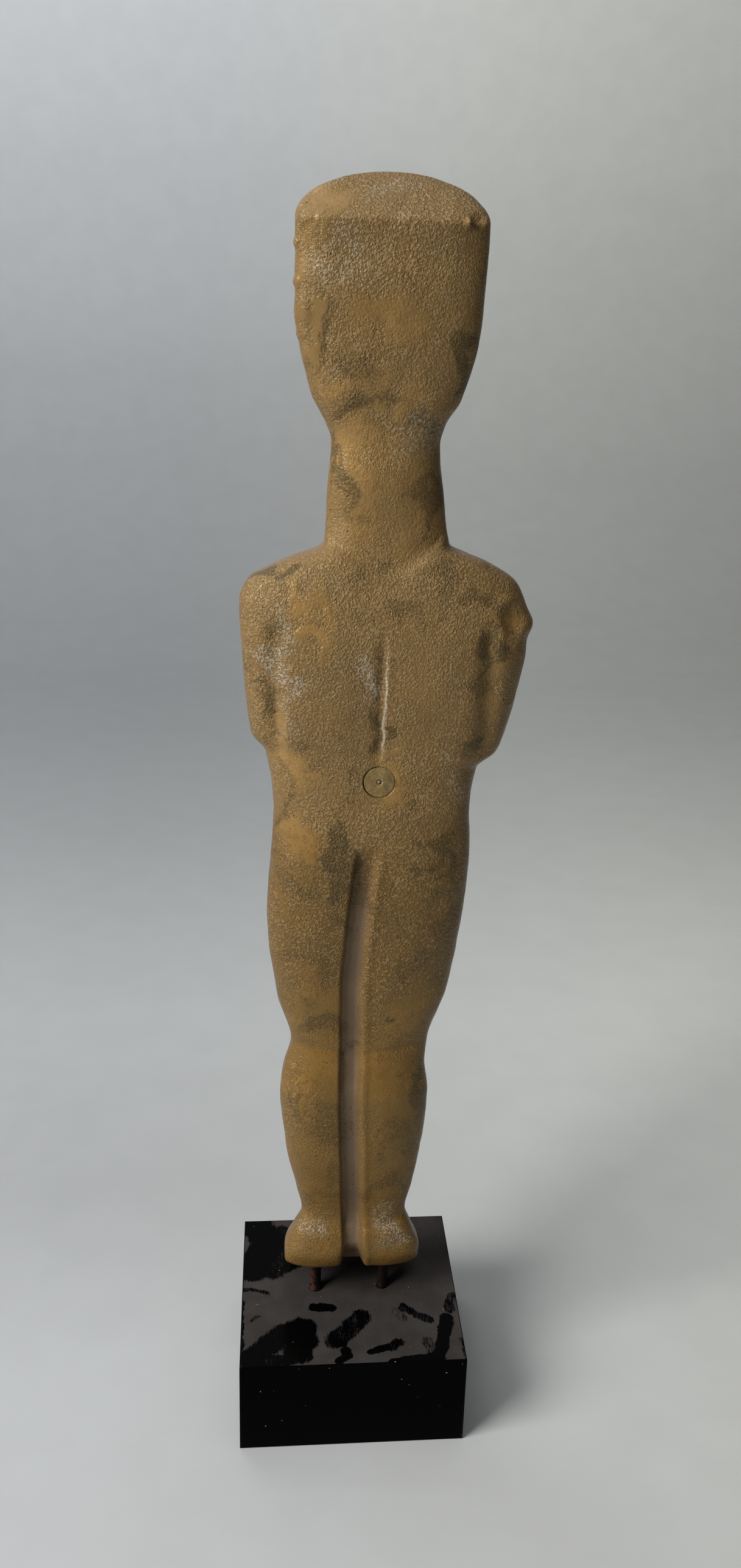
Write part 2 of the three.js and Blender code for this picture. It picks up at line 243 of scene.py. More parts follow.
def spots(x, z, places):
    """Soft ovals, the strongest at each place. Each is (x, z, half width, half height, lean in
    degrees, strength)."""
    total = np.zeros(np.shape(x))
    for spot_x, spot_z, half_width, half_height, lean, strength in places:
        c, s = math.cos(math.radians(lean)), math.sin(math.radians(lean))
        along = (x - spot_x) * c + (z - spot_z) * s
        across = (z - spot_z) * c - (x - spot_x) * s
        inside = np.exp(-(((along / half_width) ** 2 + (across / half_height) ** 2) ** 1.5))
        total = np.maximum(total, strength * inside)
    return total


# ---- Carving, as depths added to the back or the front. The broad cuts are the CAD's ----

CLEFT = Values(top=209, blend=14, width=4.2, depth=2.8, hollow=1.5, hollow_width=12)
HEEL_NOTCH = Values(bottom=8, top=30, depth=11)
SPINE = Values(bottom=240, top=284, width=2.2, depth=0.9, hollow=0.8, hollow_width=11)
ARM_GROOVE = Values(bottom=241, top=288, left=32.2, right=43.4, width=3.6, depth=1.5)
SHOULDER_KNOB = Values(height=289.5, width=4.2, reach=2.4)
NECK_STEP = Values(centre=306.8, rise=0.028, depth=1.3, fade=(322, 345))
NAPE_ARCH = Values(centre=364.5, fall=0.02, depth=0.8, fade=(335, 350))
RIDGE_HOLLOW = Values(height=410, width=7, depth=0.9)

FRONT_CLEFT = Values(top=191, blend=5, width=3.4, depth=3.4, hollow=1.4, hollow_width=11)
TOE_NOTCH = Values(bottom=12, top=34, depth=7)
FOREARM = Values(upper=264.5, lower=252, half_width=5.4, relief=3.2, edge=1.6, hand=30.5)
UPPER_ARM = Values(bottom=273, top=299, apart=35, width=3.2, groove=1.8)
BREAST = Values(height=285, apart=17.5, width=8.5, relief=3.4)
NOSE = Values(top=404, bottom=378, width=4.2, relief=5.2)
KNEE = Values(height=127, apart=15, width=9, relief=1.4)
TRIANGLE = Values(top=214, bottom=193, half_width=25, width=2.2, depth=0.9)

# Finer cuts that only this mesh carries.
SPINE_CUT = Values(wall=0.6, lip=0.15)
# Where the painted highlight along the spine groove runs: its place across at the spine's foot, its lean
# and its half-width, in millimetres.
SPINE_GLINT = Values(x=6.1, lean=0.022, half_width=0.6)
CLEFT_CUT = Values(left_wall=(3.3, 4.5), right_slope=(-5.2, -1.8), lip=0.35, lip_at=-5.9, lip_width=1.4)
NAPE_CUT = Values(reach=19.5, width=1.1, depth=0.5)
NECK_CUT = Values(reach=20, width=1.6, depth=0.3)
LEFT_KNEE = [(25.2, 125.3), (15.5, 123), (5.6, 120.7)]
RIGHT_KNEE = [(-3.8, 117.1), (-16.2, 118.5), (-25, 119.9)]
LEFT_ANKLE = [(19.9, 42.6), (12, 38.5), (4, 36.5)]
RIGHT_ANKLE = [(-4, 35.7), (-13, 37), (-21.5, 39.3)]
TOE_CUT = Values(count=4, pitch=4.6, first=4.4, top=17, width=0.8, depth=1)
FINGER_CUT = Values(count=3, reach=13, width=0.6, depth=0.55)


def broad_back(x, height, off):
    under_top = falling(height, CLEFT.top - CLEFT.blend, CLEFT.top)
    by_the_heel = falling(height, HEEL_NOTCH.bottom, HEEL_NOTCH.top)
    groove = (CLEFT.depth + HEEL_NOTCH.depth * by_the_heel) * trench(off, CLEFT.width)
    cleft = under_top * (groove + CLEFT.hollow * bell(off, CLEFT.hollow_width))
    spine_line = between(height, SPINE.bottom, SPINE.top, 6) * bell(off, SPINE.width)
    spine_hollow = between(height, SPINE.bottom, SPINE.top, 14) * bell(off, SPINE.hollow_width)
    spine = SPINE.depth * spine_line + SPINE.hollow * spine_hollow
    from_arm = np.where(off > 0, x - ARM_GROOVE.left, x + ARM_GROOVE.right)
    by_the_arms = between(height, ARM_GROOVE.bottom, ARM_GROOVE.top, 5)
    arms = by_the_arms * ARM_GROOVE.depth * bell(from_arm, ARM_GROOVE.width)
    neck_line = NECK_STEP.centre + NECK_STEP.rise * off**2
    neck = smoothstep(height, neck_line - 2, neck_line + 3) * falling(height, *NECK_STEP.fade)
    arch = NAPE_ARCH.centre - NAPE_ARCH.fall * off**2
    nape = falling(height, arch - 2.5, arch + 1.5) * smoothstep(height, *NAPE_ARCH.fade)
    under_ridge = RIDGE_HOLLOW.depth * bell(height - RIDGE_HOLLOW.height, RIDGE_HOLLOW.width)
    steps = NECK_STEP.depth * neck + NAPE_ARCH.depth * nape
    return -(cleft + spine + arms + steps + under_ridge)


def broad_front(height, off):
    apart = np.abs(off)
    groove = FRONT_CLEFT.depth * trench(off, FRONT_CLEFT.width)
    hollow = FRONT_CLEFT.hollow * bell(off, FRONT_CLEFT.hollow_width)
    top, blend = FRONT_CLEFT.top, FRONT_CLEFT.blend
    cleft = falling(height, top - blend, top + blend) * (groove + hollow)
    at_toes = falling(height, TOE_NOTCH.bottom, TOE_NOTCH.top)
    toes = at_toes * TOE_NOTCH.depth * trench(off, FRONT_CLEFT.width)
    by_the_chest = between(height, UPPER_ARM.bottom, UPPER_ARM.top, 4)
    chest = by_the_chest * UPPER_ARM.groove * bell(apart - UPPER_ARM.apart, UPPER_ARM.width)
    from_breast = np.hypot(apart - BREAST.apart, height - BREAST.height)
    breasts = BREAST.relief * bell(from_breast, BREAST.width)
    forearms = FOREARM.relief * (upper_forearm(height, off) + lower_forearm(height, off))
    down_the_nose = np.clip((NOSE.top - height) / (NOSE.top - NOSE.bottom), 0, 1) ** 0.7
    tip = smoothstep(height, NOSE.bottom - 2.5, NOSE.bottom + 1)
    nose = NOSE.relief * tip * down_the_nose * bell(off, NOSE.width)
    from_knee = np.hypot(apart - KNEE.apart, height - KNEE.height)
    knees = KNEE.relief * bell(from_knee, KNEE.width)
    drop = TRIANGLE.top - TRIANGLE.bottom
    slant = TRIANGLE.bottom + drop * apart / TRIANGLE.half_width
    line = np.maximum(
        bell(height - TRIANGLE.top, TRIANGLE.width), bell(height - slant, TRIANGLE.width)
    )
    triangle = np.where(apart < TRIANGLE.half_width, TRIANGLE.depth * line, 0)
    return breasts + forearms + nose + knees - cleft - toes - chest - triangle


def forearm_band(height, middle):
    half, edge = FOREARM.half_width, FOREARM.edge
    return between(height, middle - half, middle + half, edge)


def upper_forearm(height, off):
    hand = FOREARM.hand
    return smoothstep(off, -hand - 3.5, -hand + 3.5) * forearm_band(height, FOREARM.upper)


def lower_forearm(height, off):
    hand = FOREARM.hand
    return falling(off, hand - 3.5, hand + 3.5) * forearm_band(height, FOREARM.lower)


def spine_and_cleft_edges(height, off):
    """What turns the soft spine groove and cleft into crisp ones, with a lip on their right."""
    right_of_spine = smoothstep(-off, SPINE_CUT.wall - 0.6, SPINE_CUT.wall + 0.6)
    filled = SPINE.depth * bell(off, SPINE.width) * right_of_spine
    lip = SPINE_CUT.lip * bell(off + SPINE_CUT.wall + 0.9, 0.9)
    spine = between(height, SPINE.bottom, SPINE.top, 6) * (filled + lip)
    hard = falling(off, *CLEFT_CUT.left_wall) * smoothstep(off, *CLEFT_CUT.right_slope)
    edges = CLEFT.depth * (trench(off, CLEFT.width) - hard)
    ridge = CLEFT_CUT.lip * bell(off - CLEFT_CUT.lip_at, CLEFT_CUT.lip_width)
    return spine + falling(height, CLEFT.top - CLEFT.blend, CLEFT.top) * (edges + ridge)


def fine_back(x, height, off):
    """The crisp lines of the back: the spine, the nape and neck, the knees and the ankles."""
    apart = np.abs(off)
    arch = NAPE_ARCH.centre - NAPE_ARCH.fall * off**2
    nape = falling(apart, NAPE_CUT.reach - 3, NAPE_CUT.reach) * bell(height - arch, NAPE_CUT.width)
    neck_line = NECK_STEP.centre + NECK_STEP.rise * off**2 + 1
    neck = falling(apart, NECK_CUT.reach - 3, NECK_CUT.reach) * bell(height - neck_line, NECK_CUT.width)
    knees = 0.35 * stroke(x, height, LEFT_KNEE, 1.3) - 0.5 * stroke(x, height + 4, LEFT_KNEE, 1.2)
    knees -= 0.55 * stroke(x, height, RIGHT_KNEE, 0.9)
    ankles = stroke(x, height, LEFT_ANKLE, 1.5) + stroke(x, height, RIGHT_ANKLE, 1.5)
    heels = stroke(x, height + 5, LEFT_ANKLE, 3) + stroke(x, height + 5, RIGHT_ANKLE, 3)
    cuts = NAPE_CUT.depth * nape + NECK_CUT.depth * neck + 0.4 * ankles
    return spine_and_cleft_edges(height, off) + knees + 0.35 * heels - cuts


def fine_front(x, height, off):
    """Toes, fingers and the lines that set the arms, the neck and the face apart."""
    apart = np.abs(off)
    toes = np.zeros(np.shape(x))
    for i in range(TOE_CUT.count):
        beside = apart - (TOE_CUT.first + TOE_CUT.pitch * (i + 0.5))
        toes += bell(beside, TOE_CUT.width)
    toes *= TOE_CUT.depth * falling(height, TOE_CUT.top - 5, TOE_CUT.top)
    fingers = np.zeros(np.shape(x))
    pitch = 2 * FOREARM.half_width / (FINGER_CUT.count + 1)
    for middle, side in ((FOREARM.upper, -1), (FOREARM.lower, 1)):
        along = side * off
        near_tips = between(along, FOREARM.hand - FINGER_CUT.reach, FOREARM.hand - 1, 1.5)
        for i in range(FINGER_CUT.count):
            line = middle - FOREARM.half_width + pitch * (i + 1)
            fingers += near_tips * bell(height - line, FINGER_CUT.width)
    under_line = FOREARM.lower - FOREARM.half_width - 1
    under_arms = 0.7 * bell(height - under_line, 1) * falling(apart, 34, 40)
    neckline = NECK_STEP.centre - 9 + 0.045 * off**2
    neck = 0.7 * bell(height - neckline, 1.2) * falling(apart, 15, 18)
    chin = 0.6 * bell(height - 354, 1.4) * falling(apart, 15, 20)
    return -(toes + FINGER_CUT.depth * fingers + under_arms + neck + chin)


# ---- Wear: chips, bumps, how rough the skin of the cast is, its colour patches, and where glare and shade are painted ----

# Each dent or swelling is an oval on the back: x, height, half width, half height, lean, depth.
# A depth over 0 sinks in, and one under 0 stands out.
BACK_DENTS = [
    (24, 390.5, 3, 6.5, 8, -0.9), (23.5, 384, 2.2, 1.6, -10, -0.6), (25.4, 411.5, 0.9, 1.3, 0, -0.8),
    (25.4, 400, 0.9, 1.5, 0, -0.8), (23.5, 418, 1.6, 1.2, 0, -0.7), (-27.6, 419, 1, 1, 0, -1.2),
    (-31, 420, 2.2, 1.9, 0, 0.9), (-46.5, 296.5, 5, 2.4, -35, -0.8),
    (-51.4, 291.4, 4.6, 3.4, 20, 1.1), (-46, 285, 2.6, 6, 0, -0.9), (-12.2, 290.5, 1.6, 0.9, 25, 0.5),
    (-5, 302, 7, 2.6, 8, 0.35), (21.5, 93.4, 1.8, 1, 35, -0.7), (24.5, 110, 1.6, 1.2, 20, -0.5),
    (0.5, 119.5, 2.2, 1.4, 0, 0.8), (30.6, 252, 1.8, 9, -2, 0.7), (-36, 180, 1.6, 3.4, 0, 0.25),
]

SMOOTH_PATCHES = [
    (18, 423.5, 9, 3.6, 10, 0.9), (23.5, 388, 3.2, 32, 3, 1), (-3, 390, 11, 8, -15, 0.75),
    (2, 368, 17, 4.5, 6, 0.75), (3, 345, 7, 18, -4, 0.5), (21, 298, 6, 6, 30, 0.85),
    (14, 290, 9, 5, 40, 0.6), (17.5, 282.4, 11, 3, 12, 0.8), (31, 250, 2, 12, -2, 1),
    (-50, 290, 7, 5, 20, 1), (-48, 268, 4, 12, -8, 0.75), (23, 236, 8, 8, 15, 0.8),
    (-12, 229, 6, 6, 30, 0.95), (-13, 241, 6, 4, 10, 0.6), (22, 210, 6.5, 6, -25, 1),
    (30, 190, 4, 24, 0, 0.5), (14, 140, 15, 14, 0, 0.8), (-18, 136, 15, 12, 0, 0.8),
    (-36, 180, 2, 4, 0, 0.9), (15, 110, 12, 12, 0, 0.9), (-14, 105, 10, 14, 0, 0.9),
    (0, 60, 26, 24, 0, 0.55), (0, 22, 30, 6, 0, 0.8), (0, 0, 40, 16, 0, 0.9),
]

ROUGH_PATCHES = [
    (14, 408, 9, 9, 0, 1), (15, 383, 6, 12, 0, 1), (-8, 408, 22, 9, 0, 0.9),
    (-24, 363, 7, 6, 30, 0.9), (-12, 427.5, 8, 3, 0, 1), (-22, 425, 6, 3, -20, 1),
    (29.8, 275, 6, 16, 0, 1), (9, 272, 10, 12, 0, 1), (39, 270, 4, 14, 0, 1),
    (-10, 262, 14, 16, 0, 0.9), (5, 238, 10, 6, 0, 0.9), (14, 36, 9, 4.5, -18, 1),
    (-15, 35, 9, 4.5, 12, 1), (25, 100, 3, 10, 0, 0.8),
]

OCHRE_PATCHES = [
    (18, 423.5, 9, 3.6, 10, 0.8), (-3, 390, 12, 9, -15, 0.55), (2, 368, 17, 4.5, 6, 0.9),
    (3, 340, 9, 22, -4, 0.7), (21, 299, 8, 5, 30, 1), (13, 292, 9, 5, 40, 0.8),
    (17.5, 282.4, 11, 3.4, 12, 0.9), (31, 250, 2.2, 13, -2, 0.7), (-50, 290, 7, 6, 20, 0.7),
    (23, 236, 8, 8, 15, 1), (-12, 229, 6, 6, 30, 1), (-13, 241, 6, 4, 10, 0.7),
    (22, 210, 7, 7, -25, 1), (12, 140, 16, 15, 0, 0.75), (-18, 134, 14, 10, 0, 0.75),
    (14, 108, 12, 10, 0, 0.85), (-10, 108, 8, 10, 0, 0.6), (12, 20, 16, 4, 0, 0.8),
    (-14, 20, 12, 4, 0, 0.7),
]

GRIME_PATCHES = [
    (32.4, 305.7, 5, 2.6, 20, 1), (23, 307.8, 4, 3.4, 0, 1), (-41.9, 309, 1.8, 1.6, 0, 1),
    (-37, 299, 6, 4, 30, 0.7), (-43, 281, 3.4, 9, 10, 0.9), (-40, 247, 4, 7, -20, 0.8),
    (38, 262, 4, 14, 0, 0.7), (20, 383, 3, 14, 6, 0.7), (-29, 376, 4, 9, -15, 0.9),
    (8, 360, 8, 2.6, -15, 0.6), (-20, 360, 8, 2.6, 20, 0.6), (11, 340, 3.4, 14, 0, 0.7),
    (-20, 330, 4, 7, 0, 0.7), (4, 232, 3, 5, 10, 0.6), (6, 222, 6, 4, -20, 0.5),
    (9, 203, 6, 8, -15, 0.9), (8, 191, 4, 7, 10, 0.8), (10, 176, 5, 5, 0, 0.6),
    (22, 189, 8, 6, 0, 0.5), (-31, 196, 6, 6, 20, 0.8), (16, 160, 10, 6, 20, 0.5),
    (-20, 158, 10, 6, -20, 0.5), (14, 128, 12, 3, -10, 0.6), (10, 88, 8, 10, 20, 0.5),
    (-16, 80, 8, 12, -10, 0.6), (14, 52, 8, 8, 0, 0.5), (-14, 55, 8, 8, 0, 0.6),
    (-28, 205, 8, 7, 0, 0.8), (-34, 180, 5, 24, 0, 0.5), (-10, 178, 4, 12, 0, 0.5),
    (-10.8, 134, 2, 2, 0, 1), (-27, 100, 4, 22, 4, 0.8), (22, 100, 3, 8, 0, 0.6),
    (30, 215, 3, 24, 0, 0.6), (6, 262, 4, 12, 0, 0.4), (-5, 262, 1.7, 24, -1, 1),
    (0, 8, 40, 6, 0, 0.3),
]


# Where silvery glare is painted on the ridges: each is x, height, half width, half height, lean in
# degrees and strength.
PAINTED_GLARE_PATCHES = [
    (1, 271, 6, 8, 20, 1), (-3.5, 266, 4, 6, 0, 0.9), (29.8, 276, 3, 18, -3, 0.9),
    (29.5, 258, 2, 14, -6, 0.5), (-33, 230, 3, 12, 0, 0.4), (-20, 355, 6, 9, 0, 0.6),
    (14, 408, 8, 7, 0, 0.5), (-2, 427, 8, 4, 0, 0.6), (12, 36, 8, 5, -18, 0.7),
    (-14, 35, 8, 5, 12, 0.7),
]


def wandering(points, cell, amount, seed):
    """points pushed about, so that a patch drawn with them has a natural edge."""
    push = [noise(points, cell, seed + i) for i in range(3)]
    return points + amount * np.stack(push, axis=1)


def masks_at(points, off, on_back):
    """Where the skin is rough, yellow, grimed and mauve, where silvery glare is painted on it and where
    painted shade darkens the legs: 0 to 1 for each point.
    """
    moved = wandering(points, 13, 10, 11)
    moved = wandering(moved, 4, 4, 17)
    x, height = moved[:, 0], moved[:, 2]
    cloud = noise(points, 26, 21) + 0.5 * noise(points, 11, 22)
    legs = falling(height, 112, 150)
    neck = between(height, 316, 352, 8)
    rough = 0.82 + 0.3 * cloud - 0.25 * legs - 0.3 * neck
    waxy = (0.85 - 0.35 * legs) * spots(x, height, SMOOTH_PATCHES)
    plain = 0.45 + 0.45 * cloud
    grime = smoothstep(noise(points, 19, 25) + 0.6 * noise(points, 7, 26), 0.28, 0.9)
    back = {
        "rough": np.maximum(rough * (1 - waxy), 0.95 * spots(x, height, ROUGH_PATCHES)),
        "ochre": 0.3 + 0.3 * cloud + 0.75 * spots(x, height, OCHRE_PATCHES) + 0.15 * legs,
        "grime": np.maximum(0.5 * grime, spots(x, height, GRIME_PATCHES)),
    }
    front = {"rough": plain, "ochre": 0.35 + 0.4 * cloud, "grime": 0.7 * grime}
    masks = {key: np.clip(np.where(on_back, back[key], front[key]), 0, 1) for key in back}
    # Painted glare: where the ridges are painted silvery pale.
    masks["painted_glare"] = np.where(on_back, spots(x, height, PAINTED_GLARE_PATCHES), 0)
    # Painted shade: the legs and lower body are painted darker and warmer where this mask is.
    masks["brown"] = falling(points[:, 2] + 3 * cloud, 190, 232)
    in_cleft = trench(off, CLEFT.width * 0.9) * falling(points[:, 2], 175, 206)
    masks["mauve"] = np.where(on_back, in_cleft, 0.7 * trench(off, 3) * (points[:, 2] < 190))
    masks["rough"] = masks["rough"] * (1 - 0.75 * masks["mauve"])
    return masks


# The cast's skin, as heights out of the surface: each is a width, a height and a seed.
UNDULATION = [(17, 0.3, 31), (7.5, 0.16, 32)]
PEBBLES = [(3.6, 0.08, 41), (2.3, 0.06, 42)]


def skin_at(points, rough):
    waves = sum(tall * noise(points, cell, seed) for cell, tall, seed in UNDULATION)
    pebbles = sum(tall * noise(points, cell, seed) for cell, tall, seed in PEBBLES)
    return waves + rough * pebbles


# ---- The figure's mesh ----

BACK_COLUMNS = 142
FRONT_COLUMNS = 76
BODY_ROWS = 416
CROWN_ROWS = 26
DEEPEST_SHARE = 0.82
EDGE_FADE = 1.6


def round_the_section():
    """Shares of the half-width all the way round, along the back from the left side to the right
    one and along the front again, and the side that each is on, 1 for the back."""
    back = np.sin(np.linspace(math.pi / 2, -math.pi / 2, BACK_COLUMNS + 1))
    front = np.sin(np.linspace(-math.pi / 2, math.pi / 2, FRONT_COLUMNS + 1))[1:-1]
    shares = np.concatenate([back, front])
    sides = np.concatenate([np.ones(len(back)), -np.ones(len(front))])
    return shares, sides


def row_heights():
    body = np.linspace(TABLE[0, 0], RIDGE, BODY_ROWS, endpoint=False)
    crown = RIDGE + CROWN.rise * np.sin(np.linspace(0, math.pi / 2, CROWN_ROWS + 1))
    return np.concatenate([body, crown])


def figure_points():
    """The carved form without its wear: points (rows, columns, 3), off (how far each point is
    from the middle line) and on_back."""
    shares, sides = round_the_section()
    height = row_heights()[:, None]
    share, side = shares[None, :], sides[None, :]
    section = section_at(height)
    half = np.where(share > 0, section["left"], section["right"])
    off = share * half
    x = section["middle"] + off
    rounding = (1 - np.abs(share) ** section["square"]) ** (1 / section["square"])
    towards_back = section["back"] - section["widest"]
    towards_front = section["widest"] - section["front"]
    reach = np.where(side > 0, towards_back, towards_front)
    back = broad_back(x, height, off) + fine_back(x, height, off)
    front = broad_front(height, off) + fine_front(x, height, off)
    carving = np.where(side > 0, back, front)
    most = DEEPEST_SHARE * reach
    depth = reach * rounding + np.clip(carving, -most, most) * np.minimum(1, EDGE_FADE * rounding)
    at_knob = bell(height - SHOULDER_KNOB.height, SHOULDER_KNOB.width)
    knob = np.where(share < -0.9, SHOULDER_KNOB.reach * at_knob, 0)
    y = section["widest"] + side * depth
    z = np.broadcast_to(height, x.shape)
    return np.stack([x - knob, y, z], axis=2), off, np.broadcast_to(side > 0, x.shape)


def grid_normals(points):
    """Unit normals that look to the same side as grid_faces."""
    round_it = np.roll(points, -1, axis=1) - np.roll(points, 1, axis=1)
    up = np.gradient(points, axis=0)
    normal = np.cross(up, round_it)
    length = np.linalg.norm(normal, axis=2, keepdims=True)
    return normal / np.maximum(length, 1e-9)


def mesh_object(name, points, faces, smooth=True):
    """A mesh object from points in metres and faces."""
    mesh = bpy.data.meshes.new(name)
    mesh.from_pydata([tuple(p) for p in points], [], faces)
    mesh.polygons.foreach_set("use_smooth", [smooth] * len(mesh.polygons))
    mesh.update()
    piece = bpy.data.objects.new(name, mesh)
    bpy.context.scene.collection.objects.link(piece)
    return piece


def write_mask(piece, name, values):
    layer = piece.data.attributes.new(name, "FLOAT", "POINT")
    layer.data.foreach_set("value", np.asarray(values, np.float32))


def grid_faces(rows, columns):
    """Quads over a grid whose rows close on themselves. They look inwards where a row runs
    counterclockwise, seen from above, and outwards where it runs clockwise."""
    first = np.arange(rows - 1)[:, None] * columns
    here = np.arange(columns)[None, :]
    beside = (here + 1) % columns
    quads = [first + here, first + columns + here, first + columns + beside, first + beside]
    return np.stack(quads, axis=-1).reshape(-1, 4).tolist()


def fan(first, count, hub, turned=False):
    """Triangles from a ring of count points, which starts at first, to its hub."""
    pairs = [(first + i, first + (i + 1) % count) for i in range(count)]
    return [[b, a, hub] if turned else [a, b, hub] for a, b in pairs]


def make_figurine():
    points, off, on_back = figure_points()
    rows, columns = off.shape
    normals = grid_normals(points)
    flat = points.reshape(-1, 3)
    masks = masks_at(flat, off.ravel(), on_back.ravel())
    skin = skin_at(flat, masks["rough"])
    dents = np.where(on_back.ravel(), dents_at(flat), 0)
    worn = flat + normals.reshape(-1, 3) * (skin + dents)[:, None]
    sole = worn[:columns].mean(axis=0)
    crest = worn[-columns:].mean(axis=0)
    faces = grid_faces(rows, columns)
    last = rows * columns
    faces += fan(0, columns, last)
    faces += fan(last - columns, columns, last + 1, turned=True)
    placed = np.vstack([worn, sole, crest]) * MM + np.array([0, 0, BLOCK_TOP])
    piece = mesh_object("figurine_cast", placed, faces)
    for key, values in masks.items():
        write_mask(piece, key, np.append(values, [values[0], values[-1]]))
    return piece


def dents_at(points):
    total = np.zeros(len(points))
    for *place, depth in BACK_DENTS:
        total += depth * spots(points[:, 0], points[:, 2], [(*place, 1)])
    return total


# ---- The plug, the pins and the block ----

plug_low, plug_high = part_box("back_plug")
PLUG = Values(
    x=(plug_low.x + plug_high.x) / 2 / MM,
    height=((plug_low.z + plug_high.z) / 2 - BLOCK_TOP) / MM,
    radius=(plug_high.x - plug_low.x) / 2 / MM,
    floor=plug_low.y / MM,
)
FIT_GAP = 0.3
PIN_TOP = (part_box("pin_left")[1].z - BLOCK_TOP) / MM
PIN_IN_BLOCK = (BLOCK_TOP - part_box("pin_left")[0].z) / MM


def cutter(radius, low, high, place, along_y=False):
    """A round bar in metres that a boolean cuts a socket with, kept out of the scene."""
    shape = bmesh.new()
    bmesh.ops.create_cone(
        shape, cap_ends=True, segments=64, radius1=radius, radius2=radius, depth=high - low
    )
    turn = Matrix.Rotation(math.radians(90), 4, "X") if along_y else Matrix()
    middle = Vector((0, (low + high) / 2, 0)) if along_y else Vector((0, 0, (low + high) / 2))
    placed = Matrix.Translation(Vector(place) + middle) @ turn
    bmesh.ops.transform(shape, matrix=placed, verts=shape.verts)
    mesh = bpy.data.meshes.new("cutter")
    shape.to_mesh(mesh)
    shape.free()
    return bpy.data.objects.new("cutter", mesh)


def cut(piece, cutters):
    for bar in cutters:
        bpy.context.scene.collection.objects.link(bar)
        modifier = piece.modifiers.new("socket", "BOOLEAN")
        modifier.operation = "DIFFERENCE"
        modifier.solver = "MANIFOLD"
        modifier.object = bar
        bpy.context.view_layer.objects.active = piece
        bpy.ops.object.modifier_apply(modifier=modifier.name)
        bpy.data.objects.remove(bar)


def pin_places():
    for node in ("pin_left", "pin_right"):
        low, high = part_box(node)
        yield node, (low.x + high.x) / 2 / MM, (high.x - low.x) / 2 / MM


def pin_cutters(low, high):
    return [
        cutter((radius + FIT_GAP) * MM, BLOCK_TOP + low * MM, BLOCK_TOP + high * MM, (x * MM, 0, 0))
        for _, x, radius in pin_places()
    ]


def plug_cutter():
    behind = 30 * MM
    floor = (PLUG.floor - FIT_GAP) * MM
    place = (PLUG.x * MM, 0, BLOCK_TOP + PLUG.height * MM)
    return cutter((PLUG.radius + FIT_GAP) * MM, floor, behind, place, along_y=True)


def back_surface(x, height):
    """The depth of the back's bare form at places (x, height), without the fine cuts."""
    section = section_at(height)
    off = x - section["middle"]
    half = np.where(off > 0, section["left"], section["right"])
    share = np.clip(np.abs(off / half), 0, 1)
    rounding = (1 - share ** section["square"]) ** (1 / section["square"])
    reach = section["back"] - section["widest"]
    return section["widest"] + reach * rounding + broad_back(x, height, off)


PLUG_RINGS = 22
PLUG_SECTORS = 72
PLUG_SET_BACK = 0.1
PLUG_EDGE = 0.15
PLUG_PUSH = 0.14
PLUG_SWELL = 0.12


def make_plug():
    """The filler's face follows the back, a little set back, with a rubbed rim. It sits towards
    the right of its hole, so that the gap is wider on the left."""
    radii = (PLUG.radius + PLUG_SWELL) * np.sqrt(np.linspace(0.02, 1, PLUG_RINGS))
    angle = np.linspace(0, 2 * math.pi, PLUG_SECTORS, endpoint=False)
    ragged = 1 + 0.006 * np.sin(3 * angle + 0.4) + 0.005 * np.sin(7 * angle)
    r, a = np.meshgrid(radii, angle, indexing="ij")
    r = r * ragged[None, :]
    x = PLUG.x - PLUG_PUSH + r * np.cos(a)
    height = PLUG.height + r * np.sin(a)
    y = back_surface(x, height) - PLUG_SET_BACK
    lumps = np.stack([x, y, height], axis=2).reshape(-1, 3)
    y = y + 0.14 * noise(lumps, 3.2, 51).reshape(y.shape) + 0.06 * noise(lumps, 1.3, 52).reshape(y.shape)
    y = y - PLUG_EDGE * smoothstep(r, PLUG.radius - 0.4, PLUG.radius) ** 2
    wall = np.stack([x[-1], np.full(PLUG_SECTORS, PLUG.floor), height[-1]], axis=1)
    face = np.stack([x, y, height], axis=2).reshape(-1, 3)
    hub = [PLUG.x - PLUG_PUSH, y[0].mean(), PLUG.height]
    floor = [PLUG.x - PLUG_PUSH, PLUG.floor, PLUG.height]
    points = np.vstack([face, wall, hub, floor])
    faces = grid_faces(PLUG_RINGS + 1, PLUG_SECTORS)
    count = (PLUG_RINGS + 1) * PLUG_SECTORS
    faces += fan(0, PLUG_SECTORS, count, turned=True)
    faces += fan(count - PLUG_SECTORS, PLUG_SECTORS, count + 1)
    faces = [face[::-1] for face in faces]
    return mesh_object("plug_filler_disc", points * MM + np.array([0, 0, BLOCK_TOP]), faces)


PIN_SECTORS = 40


def pin_profile(bead):
    """A pin's outline, as heights above the block's top and how far it swells past its rod. bead
    is how full the adhesive at its foot is, 0 to 1."""
    yield -PIN_IN_BLOCK, -0.5
    yield -PIN_IN_BLOCK + 0.5, 0
    yield -0.02, 0
    yield 0.05, 0.75 * bead
    yield 0.7, 0.7 * bead
    yield 1.5, 0.35 * bead
    yield 2.6, 0.04 * bead
    for height in np.linspace(4, PIN_TOP - 0.6, 18):
        yield height, 0
    yield PIN_TOP - 0.15, -0.2
    yield PIN_TOP, -0.7


